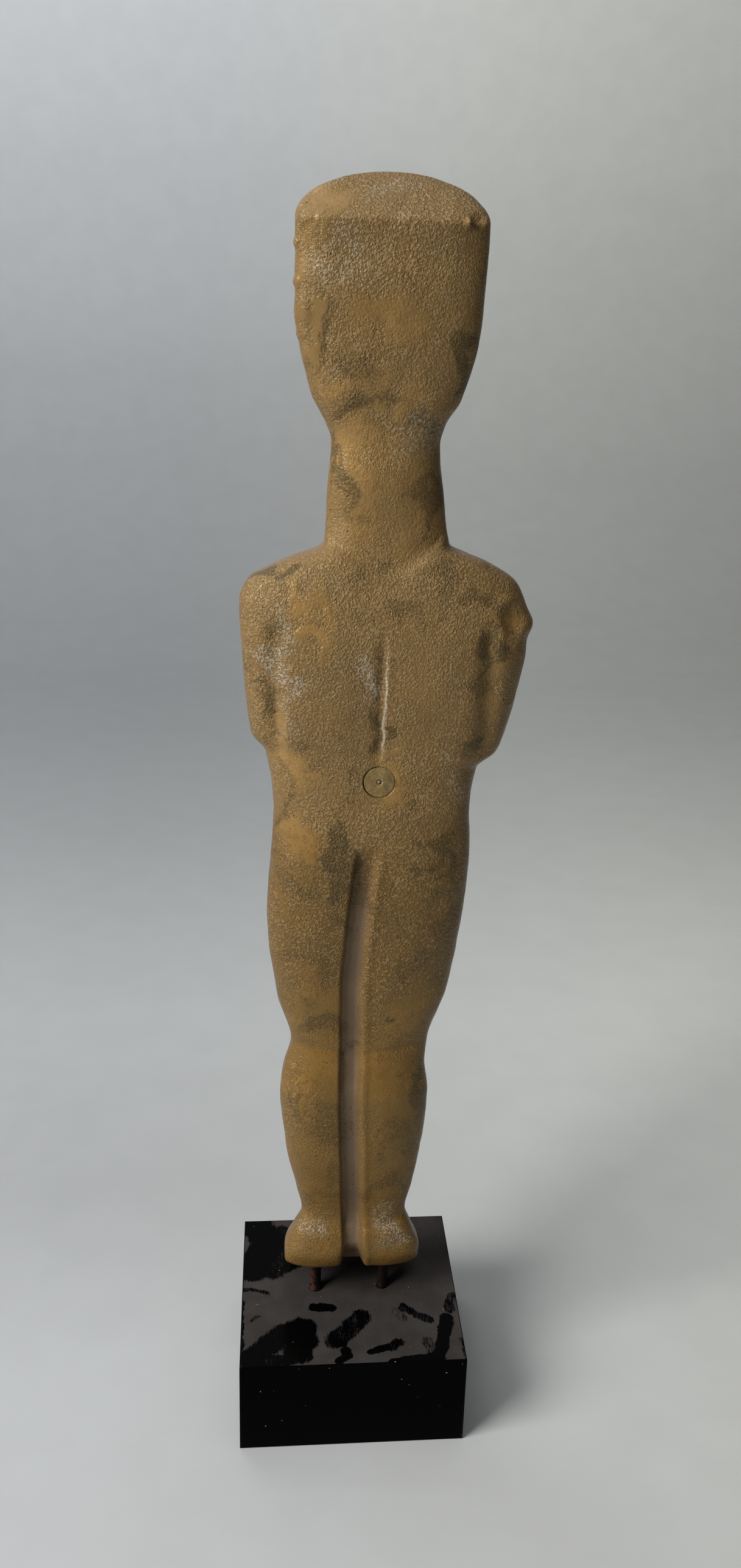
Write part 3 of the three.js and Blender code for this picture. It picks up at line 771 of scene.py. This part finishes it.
def make_pin(node, x, radius, bead):
    profile = np.array(list(pin_profile(bead)))
    angle = np.linspace(0, 2 * math.pi, PIN_SECTORS, endpoint=False)
    height, a = np.meshgrid(profile[:, 0], angle, indexing="ij")
    radial = radius + profile[:, 1][:, None] + np.zeros_like(a)
    around = np.stack([np.cos(a) * radius, np.sin(a) * radius, height], axis=2).reshape(-1, 3)
    radial = radial + 0.05 * noise(around, 1.6, 61 + PIN_SECTORS).reshape(a.shape) * (height > 0)
    points = np.stack([x + radial * np.cos(a), radial * np.sin(a), height], axis=2).reshape(-1, 3)
    points = np.vstack([points, [x, 0, profile[0, 0]], [x, 0, profile[-1, 0]]])
    rows = len(profile)
    last = rows * PIN_SECTORS
    faces = [face[::-1] for face in grid_faces(rows, PIN_SECTORS)]
    faces += fan(0, PIN_SECTORS, last, turned=True)
    faces += fan(last - PIN_SECTORS, PIN_SECTORS, last + 1)
    return mesh_object(node + "_rod", points * MM + np.array([0, 0, BLOCK_TOP]), faces)


# Finger marks wiped into the dust on the block's top: the ends of each mark from the block's
# middle, +X and +Y, its half-width, and how clean it is wiped.
WIPES = {
    "back corner": ([(40, -41), (33, -30), (41, -12)], 8, 1),
    "back corner haze": ([(28, -34), (24, -18), (33, -12)], 7, 0.75),
    "left streak": ([(44.5, 0.5), (38.5, 1), (34, 3)], 1.2, 0.7),
    "small comma": ([(41, 19), (39.5, 17), (38, 16.4)], 1, 0.6),
    "palm core": ([(24, 28), (20, 31), (22, 36)], 6.5, 1),
    "palm": ([(40, 40), (34, 34), (28, 27), (20, 24)], 6, 0.85),
    "palm front": ([(42, 44), (30, 42), (20, 40)], 4, 0.75),
    "palm tip": ([(18, 25), (15.8, 26.4)], 1.8, 1),
    "oval": ([(14.6, 12.4), (8.6, 12.8)], 2.6, 1),
    "brush": ([(7, 32), (1, 26), (-4, 19)], 5, 0.72),
    "brush dark": ([(8, 31), (4, 34)], 2.2, 0.9),
    "bean": ([(3.2, 38), (2.2, 41), (5.5, 43)], 2.2, 1),
    "long bean": ([(-6.8, 38.8), (-13.5, 36.8)], 1.8, 1),
    "finger tip": ([(-15.5, 36.4), (-18.8, 34)], 2.6, 0.7),
    "diagonal": ([(-22, 14.2), (-27, 18.4), (-32, 22)], 2.2, 0.7),
    "diagonal ghost": ([(-19.5, 17), (-21, 20)], 3, 0.35),
    "right streak": ([(-39.2, 21), (-37.8, 29), (-35.4, 37), (-34, 44)], 2.9, 1),
    "right streak haze": ([(-43, 8), (-41, 16)], 2.4, 0.6),
    "right haze": ([(-30, 34), (-32, 40)], 2.6, 0.45),
    "front wedge": ([(-15, 45.4), (-22, 44), (-33, 42.5)], 2.2, 1),
    "right edge": ([(-44.6, 33), (-44.9, 44)], 1.1, 0.6),
    "left edge": ([(45, 8), (44.6, 26), (44.8, 38)], 1.2, 0.9),
}
BLOCK_GRID = 0.5
BLOCK_BEVEL = 0.5
BEVEL_STEPS = 5


def wiped_at(x, y):
    """How clean of dust each place of the block's top is."""
    flat = np.stack([x, y, np.zeros_like(x)], axis=-1).reshape(-1, 3)
    push = 0.9 * np.stack([noise(flat, 5, 71), noise(flat, 5, 72)], axis=-1)
    push = push + 0.4 * np.stack([noise(flat, 1.6, 73), noise(flat, 1.6, 74)], axis=-1)
    px = x + push[:, 0].reshape(x.shape)
    py = y + push[:, 1].reshape(x.shape)
    clean = np.zeros(x.shape)
    for points, half_width, strength in WIPES.values():
        inside = stroke(px, py, points, half_width)
        clean = np.maximum(clean, strength * smoothstep(inside, 0.25, 0.6))
    return clean


def block_edge():
    """(out, down) from the edge of the flat top, over both softened edges, to the underside."""
    turns = np.linspace(0, math.pi / 2, BEVEL_STEPS)[1:]
    drop = BLOCK_HEIGHT - BLOCK_BEVEL
    yield 0, 0
    for turn in turns:
        yield BLOCK_BEVEL * math.sin(turn), BLOCK_BEVEL * (math.cos(turn) - 1)
    yield BLOCK_BEVEL, -drop
    for turn in turns:
        yield BLOCK_BEVEL * math.cos(turn), -drop - BLOCK_BEVEL * math.sin(turn)


def make_block():
    """The block with softened edges. Its top is a fine grid that carries the wiped dust."""
    half = BLOCK_HALF - BLOCK_BEVEL
    line = np.linspace(-half, half, round(2 * half / BLOCK_GRID) + 1)
    x, y = np.meshgrid(line, line, indexing="ij")
    count = len(line)
    top = np.stack([x, y, np.zeros_like(x)], axis=2).reshape(-1, 3)
    index = np.arange(count * count).reshape(count, count)
    faces = np.stack([index[:-1, :-1], index[1:, :-1], index[1:, 1:], index[:-1, 1:]], axis=-1)
    faces = faces.reshape(-1, 4).tolist()
    border = np.concatenate([index[:-1, 0], index[-1, :-1], index[:0:-1, -1], index[0, :0:-1]])
    rings = [ring_out(top[border], out, down) for out, down in block_edge()]
    points = np.vstack([top, *rings[1:]])
    around = len(border)
    lower_rings = len(top) + np.arange(around * (len(rings) - 1)).reshape(-1, around)
    ring_index = np.vstack([border, lower_rings])
    for upper, lower in zip(ring_index[:-1], ring_index[1:]):
        faces += np.stack([np.roll(upper, -1), upper, lower, np.roll(lower, -1)], axis=1).tolist()
    faces.append(ring_index[-1][::-1].tolist())
    piece = mesh_object("plinth_block", points * MM + np.array([0, 0, BLOCK_TOP]), faces)
    clean = np.ones(len(points))
    clean[: count * count] = wiped_at(x, y).ravel()
    write_mask(piece, "clean", clean)
    return piece


def ring_out(border, out, down):
    """The block's border ring moved out of its edges and down."""
    half = BLOCK_HALF - BLOCK_BEVEL
    away = np.zeros_like(border)
    for axis in (0, 1):
        away[:, axis] = out * np.sign(border[:, axis]) * (np.abs(border[:, axis]) > half - 1e-6)
    away[:, 2] = down
    return border + away


# ---- Materials ----


class Shader:
    """A short way to write a material's nodes: each method adds one and gives its output."""

    def __init__(self, name):
        self.material = bpy.data.materials.new(name)
        self.material.use_nodes = True
        self.tree = self.material.node_tree
        self.surface = self.tree.nodes["Principled BSDF"]
        self.place = self.add("ShaderNodeTexCoord").outputs["Object"]

    def add(self, kind, inputs=(), **settings):
        node = self.tree.nodes.new(kind)
        for key, value in settings.items():
            setattr(node, key, value)
        self.feed(node, dict(inputs))
        return node

    def feed(self, node, inputs):
        for key, value in inputs.items():
            if isinstance(value, bpy.types.NodeSocket):
                self.tree.links.new(value, node.inputs[key])
            else:
                node.inputs[key].default_value = value

    def mask(self, name):
        return self.add("ShaderNodeAttribute", attribute_name=name).outputs["Fac"]

    def stretched(self, scale):
        node = self.add("ShaderNodeMapping", {"Vector": self.place})
        node.inputs["Scale"].default_value = scale
        return node.outputs["Vector"]

    def noise(self, cell, detail=2, roughness=0.5, place=None, distortion=0.0):
        """Noise from 0 to 1 with lumps of about a cell, in millimetres."""
        inputs = {
            "Vector": place or self.place, "Scale": 1 / (cell * MM), "Detail": detail,
            "Roughness": roughness, "Distortion": distortion,
        }
        return self.add("ShaderNodeTexNoise", inputs).outputs["Fac"]

    def math(self, operation, a, b=0.0, clamp=False):
        return self.add("ShaderNodeMath", {0: a, 1: b}, operation=operation, use_clamp=clamp).outputs[0]

    def times(self, a, b):
        return self.math("MULTIPLY", a, b)

    def plus(self, a, b):
        return self.math("ADD", a, b)

    def minus(self, a, b):
        return self.math("SUBTRACT", a, b)

    def span(self, value, low, high, to_low=0.0, to_high=1.0):
        """value's range from low to high as a smooth step from to_low to to_high."""
        inputs = {
            "Value": value, "From Min": low, "From Max": high, "To Min": to_low, "To Max": to_high,
        }
        node = self.add("ShaderNodeMapRange", inputs, interpolation_type="SMOOTHSTEP")
        return node.outputs["Result"]

    def mix(self, share, a, b, blend="MIX"):
        node = self.add("ShaderNodeMix", data_type="RGBA", blend_type=blend)
        self.feed(node, {0: share, 6: a, 7: b})
        return node.outputs[2]

    def cover(self, body, mask, strength, colour):
        """body under a colour that is laid on where the mask is, and at most by strength."""
        return self.mix(self.times(mask, strength), body, colour)

    def bump(self, height, tall, normal=None):
        """A bump whose height from 0 to 1 stands for tall millimetres."""
        inputs = {"Height": height, "Distance": tall * MM, "Strength": 1.0}
        if normal:
            inputs["Normal"] = normal
        return self.add("ShaderNodeBump", inputs).outputs["Normal"]


def rgb(red, green, blue):
    return (red, green, blue, 1)


# The cast's colours, from its brown body to what lies on it, with painted highlights and painted shade
# among them, and the tint of its gloss.
STONE = Values(
    brown=rgb(0.225, 0.134, 0.047),
    ochre=rgb(0.375, 0.218, 0.072),
    mottle=rgb(0.17, 0.103, 0.036),
    cloud=rgb(0.20, 0.130, 0.052),
    # Painted shade laid over the legs.
    leg_shade=rgb(0.76, 0.70, 0.50),
    mauve=rgb(0.15, 0.105, 0.075),
    # Dirt, and painted shade, in the dips between the ridges.
    hollow=rgb(0.085, 0.055, 0.025),
    # A painted highlight on the tops of the ridges.
    crest=rgb(0.47, 0.37, 0.24),
    dirt=rgb(0.045, 0.032, 0.014),
    # Painted glare on the ridges.
    bloom=rgb(0.42, 0.38, 0.31),
    # A painted highlight along the spine groove.
    edge=rgb(0.55, 0.50, 0.42),
    pit=rgb(0.025, 0.016, 0.008),
    gloss=rgb(1, 0.82, 0.52),
)
# How wide the lumps of its patterns are and how tall its relief is, in millimetres.
STONE_CELL = Values(worms=0.85, grain=0.55, specks=0.8, mottle=4, cloud=16, gloss=9, pits=1.9)
STONE_RELIEF = Values(worms=0.21, grain=0.28, pits=0.2)


def cast_stone():
    """Tinted cast stone: glinting worm-like ridges on its rough parts, their tops painted paler as a
    painted highlight, waxy ochre patches, dirt, the dips between the ridges darkened with dirt and
    painted shade, a painted silvery glare on the ridges in patches, a painted highlight along the spine
    groove and painted shade over the legs."""
    shader = Shader("cast_stone")
    rough, ochre, grime = shader.mask("rough"), shader.mask("ochre"), shader.mask("grime")
    mauve, painted_glare, brown = shader.mask("mauve"), shader.mask("painted_glare"), shader.mask("brown")
    worms = shader.span(shader.noise(STONE_CELL.worms, 2, 0.5, None, 0.5), 0.34, 0.66)
    grain = shader.noise(STONE_CELL.grain, 2, 0.5)
    specks = shader.noise(STONE_CELL.specks, 5, 0.75)
    mottle = shader.noise(STONE_CELL.mottle, 5, 0.65)
    cloud = shader.noise(STONE_CELL.cloud, 3, 0.55)

    ragged = shader.times(shader.minus(mottle, 0.5), 3.2)
    yellow = shader.span(shader.plus(shader.times(ochre, 0.7), ragged), 0.05, 0.95)
    body = shader.mix(yellow, STONE.brown, STONE.ochre)
    body = shader.mix(shader.span(mottle, 0.44, 0.64, 0, 0.6), body, STONE.mottle)
    body = shader.mix(shader.span(cloud, 0.42, 0.62, 0, 0.45), body, STONE.cloud)
    # Painted shade: the legs and lower body multiplied darker and warmer.
    body = shader.mix(brown, body, STONE.leg_shade, "MULTIPLY")
    body = shader.cover(body, mauve, 0.85, STONE.mauve)
    # Darker between the ridges: dirt, and painted shade of the relief.
    hollow_dirt_and_shade = shader.times(shader.span(worms, 0.6, 0), rough)
    body = shader.cover(body, hollow_dirt_and_shade, 0.3, STONE.hollow)
    # Painted highlight: the tops of the ridges painted paler, like glints.
    painted_glints = shader.times(shader.span(worms, 0.7, 1), shader.span(rough, 0.3, 1, 0, 0.3))
    body = shader.mix(painted_glints, body, STONE.crest)
    dirt = shader.span(shader.plus(specks, shader.times(grime, 0.4)), 0.6, 0.8)
    body = shader.cover(body, dirt, 0.66, STONE.dirt)
    # Painted glare: silvery pale on the ridges in the glare patches.
    bloom = shader.times(painted_glare, shader.span(worms, 0.3, 0.9, 0.1, 1))
    body = shader.cover(body, bloom, 0.7, STONE.bloom)
    # A painted highlight along the right edge of the spine groove.
    body = shader.cover(body, painted_spine_glint(shader), 0.6, STONE.edge)
    pits = stone_pits(shader, mottle)
    body = shader.cover(body, pits, 0.8, STONE.pit)

    grit = shader.span(rough, 0, 1, 0.1, 1)
    normal = shader.bump(shader.times(worms, grit), STONE_RELIEF.worms)
    normal = shader.bump(shader.times(grain, grit), STONE_RELIEF.grain, normal)
    normal = shader.bump(shader.minus(1, pits), STONE_RELIEF.pits, normal)
    gloss = shader.span(shader.noise(STONE_CELL.gloss, 3), 0.3, 0.7, 0.24, 0.38)
    shader.feed(shader.surface, {
        "Base Color": body, "Roughness": gloss, "Normal": normal, "Specular IOR Level": 0.55,
        "Specular Tint": STONE.gloss,
    })
    return shader.material


def painted_spine_glint(shader):
    """A painted highlight along the right edge of the spine groove: 1 on it, 0 beside it."""
    x, y, z = shader.add("ShaderNodeSeparateXYZ", {0: shader.place}).outputs
    bottom, top = BLOCK_TOP + SPINE.bottom * MM, BLOCK_TOP + SPINE.top * MM
    on_back = shader.span(y, 0, MM)
    wander = shader.span(shader.noise(5, 3), 0.3, 0.7, -0.4 * MM, 0.4 * MM)
    lean = shader.times(shader.minus(z, bottom), SPINE_GLINT.lean)
    beside = shader.plus(shader.plus(x, SPINE_GLINT.x * MM), lean)
    beside = shader.math("ABSOLUTE", shader.plus(beside, wander))
    line = shader.times(shader.span(beside, SPINE_GLINT.half_width * MM, 0), on_back)
    fades_in = shader.span(z, bottom, bottom + 8 * MM)
    fades_out = shader.span(z, top + 4 * MM, top - 14 * MM)
    return shader.times(line, shader.times(fades_in, fades_out))


def stone_pits(shader, mottle):
    """Small dark pinholes with uneven rims, more of them where the stone is mottled."""
    wobble = shader.add("ShaderNodeTexNoise", {"Vector": shader.place, "Scale": 1 / (0.5 * MM)})
    push = {0: wobble.outputs["Color"], 1: (0.6 * MM,) * 3}
    shift = shader.add("ShaderNodeVectorMath", push, operation="MULTIPLY").outputs[0]
    moved = shader.add("ShaderNodeVectorMath", {0: shader.place, 1: shift}, operation="ADD")
    cells = shader.add(
        "ShaderNodeTexVoronoi", {"Vector": moved.outputs[0], "Scale": 1 / (STONE_CELL.pits * MM)}
    )
    chance = shader.add("ShaderNodeSeparateColor", {0: cells.outputs["Color"]}).outputs[0]
    chosen = shader.span(shader.minus(shader.span(mottle, 0.4, 0.7, 0, 0.4), chance), 0, 0.1)
    return shader.times(shader.span(cells.outputs["Distance"], 0.2, 0.1), chosen)


FILLER = Values(
    dark=rgb(0.19, 0.125, 0.044),
    pale=rgb(0.27, 0.180, 0.064),
    vein=rgb(0.115, 0.085, 0.035),
    speck=rgb(0.07, 0.055, 0.03),
)


def plug_filler():
    """The plug's olive-brown filler, clouded, veined and specked."""
    shader = Shader("plug_filler")
    cloud = shader.noise(3.5, 4, 0.6)
    veins = shader.span(shader.noise(2.2, 4, 0.7, None, 1.2), 0.5, 0.62)
    specks = shader.span(shader.noise(0.7, 2), 0.62, 0.72)
    body = shader.mix(shader.span(cloud, 0.35, 0.65), FILLER.dark, FILLER.pale)
    body = shader.cover(body, veins, 0.5, FILLER.vein)
    body = shader.cover(body, specks, 0.4, FILLER.speck)
    normal = shader.bump(shader.noise(1.1, 3), 0.22)
    gloss = shader.span(cloud, 0.3, 0.7, 0.3, 0.45)
    shader.feed(shader.surface, {"Base Color": body, "Roughness": gloss, "Normal": normal})
    return shader.material


STEEL = Values(dark=rgb(0.006, 0.005, 0.005), rust=rgb(0.075, 0.024, 0.009))


def pin_steel(rust_share):
    """Dark steel, rusted on the side that faces +X by rust_share."""
    shader = Shader("pin_steel" if rust_share > 0.5 else "pin_steel_dark")
    normal = shader.add("ShaderNodeNewGeometry").outputs["Normal"]
    facing = shader.span(shader.add("ShaderNodeSeparateXYZ", {0: normal}).outputs[0], -0.2, 0.7)
    patchy = shader.span(shader.noise(1.8, 4, 0.7), 0.35, 0.6)
    rust = shader.times(shader.times(facing, patchy), rust_share)
    shader.feed(shader.surface, {
        "Base Color": shader.mix(rust, STEEL.dark, STEEL.rust),
        "Roughness": shader.span(rust, 0, 1, 0.42, 0.85),
        "Normal": shader.bump(shader.noise(0.5, 3, 0.7), 0.12),
        "Specular IOR Level": 0.25,
    })
    return shader.material


BLOCK = Values(
    black=rgb(0.0012, 0.0012, 0.0013),
    dust=rgb(0.036, 0.031, 0.029),
    pale_dust=rgb(0.052, 0.046, 0.044),
    grain=rgb(0.08, 0.075, 0.075),
    lint=rgb(0.35, 0.35, 0.35),
)


def black_stone():
    """Polished black under matt dust, which bristly wipe marks have cleared, with specks of lint."""
    shader = Shader("black_stone")
    bristles = shader.noise(1, 3, 0.6, shader.stretched((1.4, 0.3, 1)), 0.5)
    frayed = shader.span(bristles, 0.3, 0.7, -0.22, 0.22)
    dusty = shader.span(shader.math("ADD", shader.mask("clean"), frayed, True), 0.72, 0.12)
    powder = shader.noise(14, 4, 0.6)
    grains = shader.noise(0.5, 2)
    dust = shader.mix(shader.span(powder, 0.3, 0.7), BLOCK.dust, BLOCK.pale_dust)
    dust = shader.mix(shader.span(grains, 0.3, 0.8, 0, 0.25), dust, BLOCK.grain)
    body = shader.mix(dusty, BLOCK.black, dust)
    body = shader.mix(shader.span(shader.noise(1.3, 1), 0.8, 0.83), body, BLOCK.lint)
    shader.feed(shader.surface, {
        "Base Color": body,
        "Roughness": shader.span(dusty, 0, 1, 0.16, 0.9),
        "Normal": shader.bump(shader.times(grains, dusty), 0.02),
        "Specular IOR Level": 0.02,
    })
    return shader.material


# ---- The pieces on their body ----


def add_to_model(piece, node, material):
    piece.data.materials.clear()
    piece.data.materials.append(material)
    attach(piece, "root")
    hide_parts(node)


def make_pieces():
    figurine = make_figurine()
    cut(figurine, [plug_cutter(), *pin_cutters(-5, PIN_TOP + FIT_GAP)])
    add_to_model(figurine, "figurine", cast_stone())
    add_to_model(make_plug(), "back_plug", plug_filler())
    block = make_block()
    cut(block, pin_cutters(-PIN_IN_BLOCK - FIT_GAP, 5))
    add_to_model(block, "base_block", black_stone())
    wear = {"pin_left": (1, 1), "pin_right": (0.25, 0.3)}
    for node, x, radius in pin_places():
        bead, rust = wear[node]
        add_to_model(make_pin(node, x, radius, bead), node, pin_steel(rust))


# ---- The sweep and the lights ----

SWEEP = Values(front=2.6, bend=-1.1, radius=0.6, top=2.4, half_width=3.2)

# The sweep's light and shade are painted into its colour: how bright it is painted, on its +X side and
# on its -X side, at distances along it from the block.
SWEEP_PAINTED_LIGHT = [
    (-0.3, 0.52, 0.60), (0, 0.52, 0.60), (0.12, 0.43, 0.64), (0.3, 0.49, 0.68), (0.45, 0.46, 0.62),
    (0.62, 0.41, 0.55), (0.9, 0.37, 0.48), (1.3, 0.38, 0.46), (1.6, 0.44, 0.51), (1.75, 0.50, 0.58),
    (1.9, 0.61, 0.66), (2.1, 0.74, 0.80), (2.3, 0.80, 0.88),
]
# The colour of the light painted on the sweep's +X and -X sides.
SWEEP_PAINTED_TINTS = {"+X": (0.967, 1.0, 1.033), "-X": (1.0, 1.02, 0.98)}
SWEEP_TURN = (-0.3, 0.2)


def sweep_profile():
    """(Y, height, distance along the sweep from the block) from the front to the wall's top."""
    flat = [(y, 0, -y) for y in (SWEEP.front, *np.linspace(0.4, SWEEP.bend, 100))]
    start = -SWEEP.bend
    curve = [
        (-start - SWEEP.radius * math.sin(a), SWEEP.radius * (1 - math.cos(a)), start + SWEEP.radius * a)
        for a in np.linspace(0, math.pi / 2, 40)[1:]
    ]
    y, z, distance = curve[-1]
    rise = np.linspace(0, SWEEP.top - SWEEP.radius, 40)[1:]
    return np.array(flat + curve + [(y, z + up, distance + up) for up in rise])


def make_sweep():
    """A pale floor that curves up into a wall behind the object, with light and shade painted along it
    and a painted tint of the light on either side.
    """
    profile = sweep_profile()
    columns = SWEEP.half_width * np.linspace(-1, 1, 81) ** 3
    points = [(x, y, z) for y, z, _ in profile for x in columns]
    across = len(columns)
    faces = [
        [i * across + j, i * across + j + 1, (i + 1) * across + j + 1, (i + 1) * across + j]
        for i in range(len(profile) - 1)
        for j in range(across - 1)
    ]
    sweep = mesh_object("sweep", points, faces)
    painted_levels = np.array(SWEEP_PAINTED_LIGHT)
    side = smoothstep(columns, *SWEEP_TURN)[None, :, None]
    left = np.interp(profile[:, 2], painted_levels[:, 0], painted_levels[:, 1])[:, None, None] * SWEEP_PAINTED_TINTS["+X"]
    right = np.interp(profile[:, 2], painted_levels[:, 0], painted_levels[:, 2])[:, None, None] * SWEEP_PAINTED_TINTS["-X"]
    colours = np.ones((len(profile), across, 4))
    colours[:, :, :3] = right + side * (left - right)
    layer = sweep.data.attributes.new("painted_light_and_shade", "FLOAT_COLOR", "POINT")
    layer.data.foreach_set("color", colours.astype(np.float32).ravel())
    shader = Shader("sweep_painted_light")
    painted_light_and_shade = shader.add("ShaderNodeAttribute", attribute_name="painted_light_and_shade").outputs["Color"]
    clouded = shader.span(shader.noise(30, 3), 0.3, 0.7)
    paper = shader.mix(clouded, rgb(0.97, 0.97, 0.97), rgb(1, 1, 1))
    # Painted light and shade times the paper's own faint clouding.
    body = shader.mix(1.0, painted_light_and_shade, paper, "MULTIPLY")
    shader.feed(shader.surface, {"Base Color": body, "Roughness": 0.75})
    sweep.data.materials.append(shader.material)


def area_light(name, place, target, size, watts, colour):
    data = bpy.data.lights.new(name, "AREA")
    data.shape = "RECTANGLE"
    data.size, data.size_y = size
    data.energy = watts
    data.color = colour
    light = bpy.data.objects.new(name, data)
    bpy.context.scene.collection.objects.link(light)
    light.location = place
    light.rotation_euler = (Vector(target) - Vector(place)).to_track_quat("-Z", "Y").to_euler()


def light_the_scene():
    area_light("key", (0.95, 0.55, 0.95), (0, 0, 0.28), (0.7, 0.7), 22, (1, 0.985, 0.96))
    area_light("overhead", (0, 0, 1.9), (0, -0.2, 0), (1.4, 1.4), 7, (0.96, 0.98, 1))
    area_light("wall wash", (0.7, -0.9, 1.8), (0.4, -1.7, 1.1), (0.8, 0.8), 9, (0.96, 0.98, 1))
    world = bpy.data.worlds.new("studio")
    world.use_nodes = True
    background = world.node_tree.nodes["Background"]
    background.inputs["Color"].default_value = (0.66, 0.64, 0.6, 1)
    background.inputs["Strength"].default_value = 0.06
    bpy.context.scene.world = world
    bpy.context.scene.view_settings.view_transform = "Standard"


make_camera()
make_pieces()
make_sweep()
light_the_scene()
